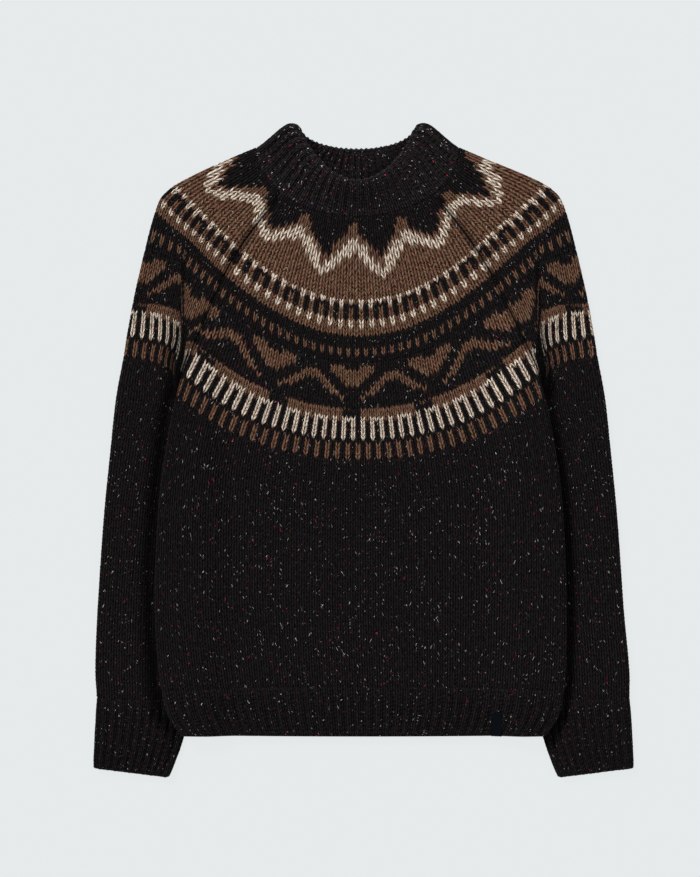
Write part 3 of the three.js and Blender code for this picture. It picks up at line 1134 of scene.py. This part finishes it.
@dataclass
class Sleeve:
    """A sleeve, open between the raglan seams above and a tube below, and its cuff.

    Args:
        name: The sleeve's name.
        cuff_name: The cuff's name.
        side: 1 for the wearer's left, -1 for the right.
        folds: Its soft folds.
        seed: Makes the small differences between stitches.
        yoke: Its colours.
        shifts: Moves its checks, lattice and comb across, in stitches.
    """

    name: str
    cuff_name: str
    side: int
    folds: Tuple[Fold, ...]
    seed: int
    yoke: Yoke
    shifts: Tuple[int, int, int]

    @staticmethod
    def rows_to_places() -> Tuple[np.ndarray, np.ndarray]:
        """Matches knitting rows to the sleeve table's places.

        Returns:
            Rows and the places for them.
        """
        places = np.linspace(0, 14, 561)
        middle = np.stack([
            (SLEEVE.read("in_x", places) + SLEEVE.read("out_x", places)) / 2,
            (SLEEVE.read("in_y", places) + SLEEVE.read("out_y", places)) / 2,
        ], axis=1)
        steps = np.linalg.norm(np.diff(middle, axis=0), axis=1) / ROW
        run = np.concatenate([[0], np.cumsum(steps)])
        yoke_rows = np.interp(places, np.linspace(0, 13, 521), FRONT_ROWS)
        join = np.searchsorted(places, 6.2)
        rows = np.where(places <= places[join], yoke_rows, yoke_rows[join] + run - run[join])
        return rows, places

    def _line(self, place: float, shares: np.ndarray, radius: float) -> np.ndarray:
        """One line of points, over the top layer and back below.

        Args:
            place: The place in the table.
            shares: Shares across, 0 at the seam, 1 at the outer fold, 2 below.
            radius: Distance of the face from the middle of the two layers.

        Returns:
            The points in millimetres.
        """
        here = np.array([place])
        value = {name: SLEEVE.read(name, here)[0] for name in SLEEVE.names}
        closed = float(np.clip(np.interp(place, (6, 7), (0, 1)), 0, 1))
        names = ("in", "lip", "far", "out")
        corners = np.array([[value[f"{name}_x"], value[f"{name}_y"]] for name in names])
        points = np.zeros((len(shares), 3))
        for layer, part in ((Layer.TOP, shares <= 1), (Layer.UNDER, shares > 1)):
            path = corners
            lip = path_length(path[:2])
            far = path_length(path[:3])
            if place < 1:
                near = smooth(np.array([place]), 0, 1)[0]
                arc = neck_arc(NECK_SEAM, layer, RAGLAN, 0, 60)
                even = path_points(path, np.linspace(0, path_length(path), 60))
                path = arc * (1 - near) + even * near
                lip, far = 0.5 * path_length(path), 0.58 * path_length(path)
            length = path_length(path)
            turn = HALF * math.pi / 2
            cloth = length - HALF + turn + closed * (turn - HALF)
            share = np.where(shares[part] <= 1, shares[part], 2 - shares[part])
            run = cloth * share
            from_out = np.maximum(cloth - run, 0)
            outer = np.clip(from_out / HALF, 0, math.pi / 2)
            inner = np.clip(run / HALF, 0, math.pi / 2)
            flat_run = run - closed * (turn - HALF)
            start = np.where(run < turn, HALF - radius * np.cos(inner), flat_run)
            distance = closed * start + (1 - closed) * (run - 0.2)
            distance = np.where(from_out < turn, length - HALF + radius * np.cos(outer), distance)
            height = radius * np.minimum(np.sin(outer), closed * np.sin(inner) + 1 - closed)
            height = height - (1 - closed) * SEAM_GROOVE * np.exp(-((run / 2.6) ** 2))
            flat = path_points(path, distance)
            px, py = flat[:, 0], flat[:, 1]
            tube = smooth(here, 6, 7)[0]
            crease = smooth(here, 2.2, 4)[0] * (1 - smooth(here, 7, 9)[0])
            strip = 1 - smooth(distance, lip, far)
            eased = smooth(here, 5.5, 6)[0]
            raised = (lift(px, py) * (1 - eased) + SLEEVE_LIFT * (1 - tube) * eased) * strip
            z = HALF + layer.value * height + raised
            if layer is Layer.TOP:
                dip = smooth(distance, lip, far) * (1 - smooth(distance, far, far + 22))
                z = z - 1.3 * crease * dip
                beside = px - np.interp(py, BODY_EDGE_Y, BODY_EDGE_X)
                # The wall is pressed thinner there
                sunk = VALLEY * (1.6 if radius > FOLD_INSIDE else 1)
                z = z - sunk * tube * (1 - smooth(beside, 3, 20)) * np.sin(inner) ** 2
            for fold in self.folds:
                z = z + fold.at(px, py) * np.sin(outer) ** 2 * (1 if layer is Layer.TOP else 0.0)
            points[part] = np.stack([px, py, z], axis=1)
        x = points[:, 0] * self.side
        return np.stack([leaned(x, points[:, 1]), hemmed(points[:, 1]), points[:, 2]], axis=1)

    def _cloths(self, first: float, last: float) -> Tuple[Cloth, Cloth]:
        """The face and the inside as smooth grids.

        Args:
            first: The first knitting row.
            last: The last.

        Returns:
            The face and the inside.
        """
        known, places = self.rows_to_places()
        one = np.concatenate(
            [np.linspace(0, 0.1, 10), np.linspace(0.12, 0.88, 44), np.linspace(0.9, 1, 12)]
        )
        shares = np.concatenate([one, 2 - one[-2::-1]])
        rows = np.arange(first, last + 3, 0.25 if first > 0 else 0.5)
        at = np.interp(rows, known, places)
        face = turned_cloth(self._line, rows, at, shares, CUFF_END, float(self.side), sleeve_drift)
        face.painted_shade = painted_shadow_beside_body
        inside = np.stack([self._line(place, shares, FOLD_INSIDE) for place in at])
        return face, Cloth(rows[0], rows[1] - rows[0], inside, shares, float(self.side))

    def build(self, yarns: Sequence[bpy.types.Material]) -> bpy.types.Object:
        """Knits the sleeve.

        Args:
            yarns: The three yarns.

        Returns:
            The finished sleeve.
        """
        known, places = self.rows_to_places()
        last = int(round(np.interp(CUFF_PLACE, places, known)))
        face, inner = self._cloths(-1, last)
        knitter = Knitter(self.name, yarns, self.seed)
        check, lattice_at, bar = self.shifts
        zones = (
            Zone(0, CHECK_ROWS, 24), Zone(CHECK_ROWS, 30, 38, shift=check),
            Zone(30, LATTICE_ROWS, 40), Zone(LATTICE_ROWS, COMB_ROWS, 44, shift=lattice_at),
            Zone(COMB_ROWS, PLAIN_ROWS, 48, shift=bar), Zone(PLAIN_ROWS, 80, 44),
            Zone(80, last, 38),
        )
        for zone in zones:
            around = Zone(zone.top, zone.bottom, zone.wales, start=0, end=2, shift=zone.shift)
            knitter.knit(face, around, self.yoke)
        knitter.lining(inner, 0, last, last // 2, 48, 0, 2)
        return knitter.join((0.36, 0.58), 0.115, [self.name], "knit", ["the floor"])

    def build_cuff(self, yarns: Sequence[bpy.types.Material]) -> bpy.types.Object:
        """Knits the cuff.

        Args:
            yarns: The three yarns.

        Returns:
            The finished cuff.
        """
        known, places = self.rows_to_places()
        first = int(round(np.interp(CUFF_PLACE, places, known)))
        last = float(np.interp(CUFF_END, places, known))
        face, inner = self._cloths(first, int(last) + 2)
        knitter = Knitter(self.cuff_name, yarns, self.seed + 20)
        rim = last + TURN_ROWS / 2
        zone = Zone(first, int(last + 1), 44, Fabric.RIB, 0, 2, rim=rim, seam=first)
        knitter.knit(face, zone, plain)
        knitter.lining(inner, first, last, 10, 88, 0, 2)
        return knitter.join((0.2, 0.08), 0.0155, [self.cuff_name], "rib", ["the floor"])


@dataclass
class Neckband:
    """The ribbed neckband, rolled over at its rim.

    Args:
        seed: Makes the small differences between stitches.
    """

    seed: int

    def _line(self, up: float, shares: np.ndarray, radius: float) -> np.ndarray:
        """One ring of the neckband.

        Args:
            up: 0 at the seam and 1 at the rim.
            shares: Shares round it, 0 at one shoulder fold and 1 at the other.
            radius: Distance of the face from the middle of the two layers.

        Returns:
            The points in millimetres.
        """
        size = {key: NECK_SEAM[key] * (1 - up) + NECK_RIM[key] * up for key in NECK_SEAM}
        for key in ("fold", "front", "back"):
            size[key] += NECK_SWELL * math.sin(math.pi * min(max(up, 0), 1) ** 2)
        points = np.zeros((len(shares), 3))
        for layer, part in ((Layer.TOP, shares <= 1), (Layer.UNDER, shares > 1)):
            path = neck_arc(size, layer, 0, math.pi, 80)
            length = path_length(path)
            turn = HALF * math.pi / 2
            cloth = length - 2 * HALF + 2 * turn
            share = np.where(shares[part] <= 1, shares[part], 2 - shares[part])
            run = cloth * share
            near = np.minimum(run, cloth - run)
            angle = np.clip(near / HALF, 0, math.pi / 2)
            inset = np.where(near < turn, HALF - radius * np.cos(angle), HALF + near - turn)
            distance = np.where(run * 2 < cloth, inset, length - inset)
            flat = path_points(path, distance)
            risen = NECK_RISE * np.sin(np.pi * share) ** 2 * max(up, 0) ** 1.3
            rise = risen if layer is Layer.TOP else 0
            z = HALF + layer.value * radius * np.sin(angle) + rise
            points[part] = np.stack([flat[:, 0], flat[:, 1], z], axis=1)
        x, y = leaned(points[:, 0], points[:, 1]), hemmed(points[:, 1])
        return np.stack([x, y, points[:, 2]], axis=1)

    def build(self, yarns: Sequence[bpy.types.Material]) -> bpy.types.Object:
        """Knits the neckband.

        Args:
            yarns: The three yarns.

        Returns:
            The finished neckband.
        """
        one = np.concatenate(
            [np.linspace(0, 0.05, 9), np.linspace(0.07, 0.93, 44), np.linspace(0.95, 1, 9)]
        )
        shares = np.concatenate([one, 2 - one[-2::-1]])
        front_rim = path_length(neck_arc(NECK_RIM, Layer.TOP, 0, math.pi, 80))
        from_fold = np.abs((shares + 0.5) % 1.0 - 0.5) * front_rim
        corner = np.exp(-((from_fold / 5.0) ** 2))
        rings = []
        for row in np.arange(0, 28, 0.25):  # up the inside, over the rim and down the outside
            swing = float(smooth(np.array([row]), RIM_ROW - 1.6, RIM_ROW + 1.6)[0]) * math.pi
            thick = RIM_THICK if 0 < swing < math.pi else WALL
            thick = WALL + (thick - WALL) * math.sin(swing)
            up = 1.0 - max(abs(row - RIM_ROW) - 0.8, 0) / 11.2
            ring = self._line(up, shares, HALF - WALL / 2 - thick / 2 * math.cos(swing))
            lower = self._line(up - 0.02, shares, HALF - WALL / 2 - thick / 2 * math.cos(swing))
            away = (ring - lower) * np.array([1, 1, 0])
            away /= np.maximum(np.linalg.norm(away, axis=1, keepdims=True), 1e-9)
            blunt = CORNER * corner * max(0.0, 1 - abs(row - RIM_ROW) / 5)
            rings.append(ring + away * (thick / 2 * math.sin(swing) - blunt)[:, None])
        face = Cloth(0, 0.25, np.stack(rings), shares, -1.0, None, painted_shade_inside_neck)
        knitter = Knitter("neckband", yarns, self.seed)
        looks = {"edge_relief": 0.6, "rim_highlight": 1.5, "depth": 1.7}
        zone = Zone(0, 24, 108, Fabric.RIB, 0, 2, rim=RIM_ROW, seam=24, **looks)
        knitter.knit(face, zone, plain)
        return knitter.join((0.56, 0.1), 0.045, ["neckband"], "rib", ["the floor"])


@dataclass
class Tab:
    """The bare woven tab on the front rib.

    Args:
        x: Its middle, from the centre line.
        wide: Its width.
        low: Its lower end, above the hem.
        high: Its upper end.
    """

    x: float = 139.5
    wide: float = 10.0
    low: float = 0.6
    high: float = 25.0

    def build(self, material: bpy.types.Material) -> bpy.types.Object:
        """Makes the tab as a strip bent over the rib.

        Args:
            material: The tape.

        Returns:
            The finished tab.
        """
        bpy.ops.object.select_all(action="DESELECT")
        bpy.ops.mesh.primitive_grid_add(x_subdivisions=12, y_subdivisions=24, size=1.0)
        made = bpy.context.object
        made.name = "hem_tab_tape"
        across, up = np.meshgrid(np.linspace(-0.5, 0.5, 13), np.linspace(0, 1, 25))
        x = self.x + across * self.wide
        y = self.low + up * (self.high - self.low)
        z = 2 * HALF + lift(x, y) + 1.5 + 0.25 * np.cos(2 * np.pi * across * 1.8)
        points = np.stack([x, hemmed(y), z], axis=2) * MM
        made.data.vertices.foreach_set("co", points.astype(np.float32).ravel())
        made.data.update()
        thick = made.modifiers.new("tape", "SOLIDIFY")
        thick.thickness = 0.0007
        thick.offset = -1
        bpy.ops.object.modifier_apply(modifier=thick.name)
        made.data.materials.append(material)
        bpy.ops.object.shade_smooth_by_angle(angle=math.radians(40))
        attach(made, "root")
        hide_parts("hem_tab")
        log.info("hem_tab: %d faces", len(made.data.polygons))
        return made


@dataclass
class NodeBook:
    """Adds nodes to a tree and links them.

    Args:
        tree: The node tree.
    """

    tree: bpy.types.NodeTree

    def add(
        self, kind: str, values: Optional[Dict[str, object]] = None, **settings: object
    ) -> bpy.types.Node:
        """Adds a node.

        Args:
            kind: The node's type.
            values: Values or output sockets for its inputs.
            settings: The node's own settings.

        Returns:
            The new node.
        """
        node = self.tree.nodes.new(kind)
        for name, value in settings.items():
            setattr(node, name, value)
        for name, value in (values or {}).items():
            socket = node.inputs[int(name)] if name.isdigit() else node.inputs[name]
            if isinstance(value, bpy.types.NodeSocket):
                self.tree.links.new(value, socket)
            else:
                socket.default_value = value
        return node

    def math(
        self, operation: str, a: object, b: object = 0.0, c: object = 0.0
    ) -> bpy.types.NodeSocket:
        """Adds a math node.

        Args:
            operation: What it works out.
            a: Its first value.
            b: Its second value.
            c: Its third value.

        Returns:
            Its output.
        """
        return self.add("ShaderNodeMath", {"0": a, "1": b, "2": c}, operation=operation).outputs[0]

    def mix(
        self, factor: object, one: object, other: object, blend: str = "MIX"
    ) -> bpy.types.NodeSocket:
        """Adds a node that mixes two colours.

        Args:
            factor: The share of the second colour.
            one: The first colour.
            other: The second colour.
            blend: How they are mixed.

        Returns:
            Its colour.
        """
        values = {"0": factor, "6": one, "7": other}
        return self.add("ShaderNodeMix", values, data_type="RGBA", blend_type=blend).outputs[2]

    def loosened(
        self, given: bpy.types.NodeSocket, scale: float, reach: Tuple[float, float, float]
    ) -> bpy.types.NodeSocket:
        """Moves coordinates about by a soft noise.

        Args:
            given: The coordinates.
            scale: The noise's scale.
            reach: How far they are moved each way.

        Returns:
            The moved coordinates.
        """
        noise = self.add("ShaderNodeTexNoise", {"Vector": given, "Scale": scale, "Detail": 2.0})
        values = {"0": noise.outputs["Color"], "1": (0.5, 0.5, 0.5)}
        moved = self.add("ShaderNodeVectorMath", values, operation="SUBTRACT")
        values = {"0": moved.outputs[0], "1": reach, "2": given}
        return self.add("ShaderNodeVectorMath", values, operation="MULTIPLY_ADD").outputs[0]


def new_group(name: str, inputs: Dict[str, str], outputs: Dict[str, str]) -> bpy.types.NodeTree:
    """Makes an empty shader node group.

    Args:
        name: Its name.
        inputs: The kind of each input: Float, Vector or Color.
        outputs: The kind of each output.

    Returns:
        The group.
    """
    tree = bpy.data.node_groups.new(name, "ShaderNodeTree")
    for way, sockets in (("INPUT", inputs), ("OUTPUT", outputs)):
        for label, kind in sockets.items():
            tree.interface.new_socket(label, in_out=way, socket_type=f"NodeSocket{kind}")
    return tree


def fleck_group() -> bpy.types.NodeTree:
    """Tweed flecks: scattered short neps, most pale and some red.

    Returns:
        A group that gives a mask and a colour.
    """
    inputs = {"Stitches": "Vector", "Amount": "Float", "Red": "Float"}
    tree = new_group("tweed_flecks", inputs, {"Mask": "Float", "Colour": "Color"})
    book = NodeBook(tree)
    given = book.add("NodeGroupInput").outputs
    place = book.loosened(given["Stitches"], 2.3, (0.5, 0.5, 0.5))
    masks = []
    colours = []
    for scale, size, share in ((0.75, 0.085, 1.0), (1.7, 0.13, 0.9)):
        values = {"Vector": place, "Scale": scale}
        cell = book.add("ShaderNodeTexVoronoi", values, voronoi_dimensions="2D")
        luck = book.add("ShaderNodeSeparateColor", {"Color": cell.outputs["Color"]})
        wanted = book.math("MULTIPLY", given["Amount"], share)
        chosen = book.math("LESS_THAN", luck.outputs["Red"], wanted)
        wide = book.math("MULTIPLY_ADD", luck.outputs["Green"], size * 0.8, size * 0.5)
        near = book.math("LESS_THAN", cell.outputs["Distance"], wide)
        masks.append(book.math("MULTIPLY", chosen, near))
        red = book.math("LESS_THAN", luck.outputs["Blue"], given["Red"])
        grey = book.mix(luck.outputs["Green"], DARK_NEP, PALE_NEP)
        colours.append(book.mix(red, grey, RED_NEP))
    mask = book.math("MAXIMUM", masks[0], masks[1])
    colour = book.mix(masks[0], colours[1], colours[0])
    book.add("NodeGroupOutput", {"Mask": mask, "Colour": colour})
    return tree


def strand_group() -> bpy.types.NodeTree:
    """The round legs of the stitches, with plies, loose fibres and shade painted into the gaps
    between.

    Returns:
        A group that gives a height, a shade and a tint.
    """
    outputs = {"Height": "Float", "Shade": "Float", "Tint": "Color"}
    tree = new_group("wool_strand", {"Stitches": "Vector"}, outputs)
    book = NodeBook(tree)
    given = book.add("NodeGroupInput").outputs["Stitches"]
    loose = book.loosened(given, 1.7, (0.22, 0.45, 0.0))
    parts = book.add("ShaderNodeSeparateXYZ", {"Vector": loose}).outputs
    leg = book.math("ABSOLUTE", book.math("SUBTRACT", book.math("FRACT", parts["X"]), 0.5))
    across = book.math("POWER", book.math("SINE", book.math("MULTIPLY", leg, 6.283)), 1.3)
    along = book.math("MULTIPLY", book.math("FRACT", parts["Y"]), 3.1416)
    along = book.math("POWER", book.math("SINE", along), 0.9)
    loop = book.math("MULTIPLY", across, book.math("MULTIPLY_ADD", along, 0.7, 0.3))
    twist = book.math("MULTIPLY_ADD", parts["Y"], 12.6, book.math("MULTIPLY", leg, 30.0))
    plies = book.math("MULTIPLY_ADD", book.math("SINE", twist), 0.5, 0.5)
    values = {"Vector": given, "Scale": 6.0, "Detail": 4.0, "Roughness": 0.7}
    fibres = book.add("ShaderNodeTexNoise", values)
    soft = book.add("ShaderNodeTexNoise", {"Vector": given, "Scale": 1.7, "Detail": 3.0})
    height = book.math("MULTIPLY_ADD", plies, 0.15, book.math("MULTIPLY", fibres.outputs[0], 0.35))
    height = book.math("ADD", loop, height)
    # The shade is random tone from the noises plus painted shade from loop, low in the gaps between
    # legs and rows
    shade = book.math("MULTIPLY", soft.outputs[0], 2.2)
    shade = book.math("MULTIPLY_ADD", fibres.outputs[0], 0.9, shade)
    shade = book.math("ADD", book.math("SUBTRACT", shade, 1.65), loop)
    specks = book.add("ShaderNodeTexNoise", {"Vector": given, "Scale": 1.9, "Detail": 3.0})
    values = {"Color": specks.outputs["Color"], "Saturation": 1.5, "Value": 1.6}
    lively = book.add("ShaderNodeHueSaturation", values)
    book.add("NodeGroupOutput", {"Height": height, "Shade": shade, "Tint": lively.outputs[0]})
    return tree


def yarn_material(
    finish: YarnFinish, flecks: bpy.types.NodeTree, strand: bpy.types.NodeTree
) -> bpy.types.Material:
    """One yarn's material.

    Args:
        finish: How it looks.
        flecks: The group of tweed flecks.
        strand: The group of plies and fibres.

    Returns:
        The material.
    """
    material = bpy.data.materials.new(finish.name)
    material.use_nodes = True
    tree = material.node_tree
    book = NodeBook(tree)
    shader = tree.nodes["Principled BSDF"]
    stitches = book.add("ShaderNodeUVMap", uv_map="stitches").outputs[0]
    wool = book.add("ShaderNodeGroup", {"Stitches": stitches}, node_tree=strand)
    values = {"Stitches": stitches, "Amount": finish.flecks, "Red": finish.red}
    neps = book.add("ShaderNodeGroup", values, node_tree=flecks)
    # The colour runs from the painted gap shade to the yarn's colour by the strand's shade
    gap_shade = [part * value for part, value in zip(GAP_SHADE_TONE, finish.colour)]
    ground = book.mix(wool.outputs["Shade"], (*gap_shade, 1), (*finish.colour, 1))
    ground = book.mix(finish.shade, ground, wool.outputs["Tint"], "MULTIPLY")
    colour = book.mix(neps.outputs["Mask"], ground, neps.outputs["Colour"])
    # Painted shade and painted highlight from the painted_shade attribute: the colour is scaled by
    # one minus it
    shade_paint = book.add("ShaderNodeAttribute", attribute_name="painted_shade").outputs["Fac"]
    lit = book.math("SUBTRACT", 1.0, shade_paint)
    colour = book.add("ShaderNodeVectorMath", {"0": colour, "Scale": lit}, operation="SCALE")
    values = {"Height": wool.outputs["Height"], "Distance": 0.0011, "Strength": 0.9}
    bump = book.add("ShaderNodeBump", values)
    tree.links.new(colour.outputs[0], shader.inputs["Base Color"])
    tree.links.new(bump.outputs[0], shader.inputs["Normal"])
    shader.inputs["Roughness"].default_value = finish.roughness
    shader.inputs["Specular IOR Level"].default_value = 0.06
    shader.inputs["Sheen Weight"].default_value = finish.sheen
    shader.inputs["Sheen Roughness"].default_value = 0.5
    material.diffuse_color = (*finish.colour, 1)
    return material


def plain_material(
    name: str, colour: Tuple[float, float, float], roughness: float
) -> bpy.types.Material:
    """A material of one colour.

    Args:
        name: Its name.
        colour: Its base colour.
        roughness: Its roughness.

    Returns:
        The material.
    """
    material = bpy.data.materials.new(name)
    material.use_nodes = True
    shader = material.node_tree.nodes["Principled BSDF"]
    shader.inputs["Base Color"].default_value = (*colour, 1)
    shader.inputs["Roughness"].default_value = roughness
    shader.inputs["Specular IOR Level"].default_value = 0.03
    return material


@dataclass
class Studio:
    """The pale floor, the soft lights and the camera overhead."""

    def build(self) -> None:
        """Sets the studio up."""
        bpy.ops.object.select_all(action="DESELECT")
        bpy.ops.mesh.primitive_plane_add(size=8.0, location=(0, 0, -0.0006))
        floor = bpy.context.object
        floor.name = "floor"
        paper = plain_material("floor_paper", (0.03, 0.03, 0.03), 0.9)
        shader = paper.node_tree.nodes["Principled BSDF"]
        shader.inputs["Emission Color"].default_value = FLOOR_LIGHT
        shader.inputs["Emission Strength"].default_value = FLOOR_STRENGTH
        floor.data.materials.append(paper)
        self._light("key_light", (-0.8, 1.0, 0.95), 18, 2.9)
        self._light("fill_light", (1.0, 0.1, 0.90), 25, 0.8)
        world = bpy.data.worlds.new("studio_air")
        world.use_nodes = True
        world.node_tree.nodes["Background"].inputs["Color"].default_value = (0.96, 0.98, 1.0, 1)
        world.node_tree.nodes["Background"].inputs["Strength"].default_value = 0.45
        bpy.context.scene.world = world
        bpy.context.scene.view_settings.view_transform = "Standard"
        bpy.ops.object.camera_add(location=CAMERA_PLACE)
        camera = bpy.context.object
        camera.rotation_euler = (0, 0, 0)
        camera.data.lens = 85
        camera.data.sensor_width = 36
        bpy.context.scene.camera = camera

    @staticmethod
    def _light(name: str, towards: Tuple[float, float, float], spread: float, power: float) -> None:
        """Adds a distant soft lamp that looks at the garment.

        Args:
            name: Its name.
            towards: The direction that it stands in.
            spread: How wide it looks, in degrees.
            power: Its strength.
        """
        bpy.ops.object.light_add(type="SUN", location=towards)
        lamp = bpy.context.object
        lamp.name = name
        lamp.data.angle = math.radians(spread)
        lamp.data.energy = power
        lamp.rotation_euler = (-lamp.location).to_track_quat("-Z", "Y").to_euler()


def main() -> None:
    """Builds the jumper and the studio."""
    logging.basicConfig(level=logging.INFO, format="%(name)s: %(message)s")
    flecks, strand = fleck_group(), strand_group()
    yarns = [yarn_material(finish, flecks, strand) for finish in FINISHES]
    front = BodyHalf("front_panel", Layer.TOP, FRONT_FOLDS, 11)
    back = BodyHalf("back_panel", Layer.UNDER, BACK_FOLDS, 23)
    for half in (front, back):
        half.build(yarns)
        half.build_welt(yarns)
    left_yoke = Yoke(-0.22, 1.32, 6.3, 5, 2.7, 0.34)
    right_yoke = Yoke(-0.32, 1.19, 7.0, 4, 2.7, 0.34)
    left = Sleeve("sleeve_left", "cuff_left", 1, LEFT_SLEEVE_FOLDS, 31, left_yoke, (0, -2, -13))
    right = Sleeve(
        "sleeve_right", "cuff_right", -1, RIGHT_SLEEVE_FOLDS, 47, right_yoke, (-3, -4, -16)
    )
    for sleeve in (left, right):
        sleeve.build(yarns)
        sleeve.build_cuff(yarns)
    Neckband(61).build(yarns)
    Tab().build(plain_material("woven_tape", (0.0025, 0.0032, 0.005), 0.95))
    Studio().build()


if __name__ == "__main__":
    main()
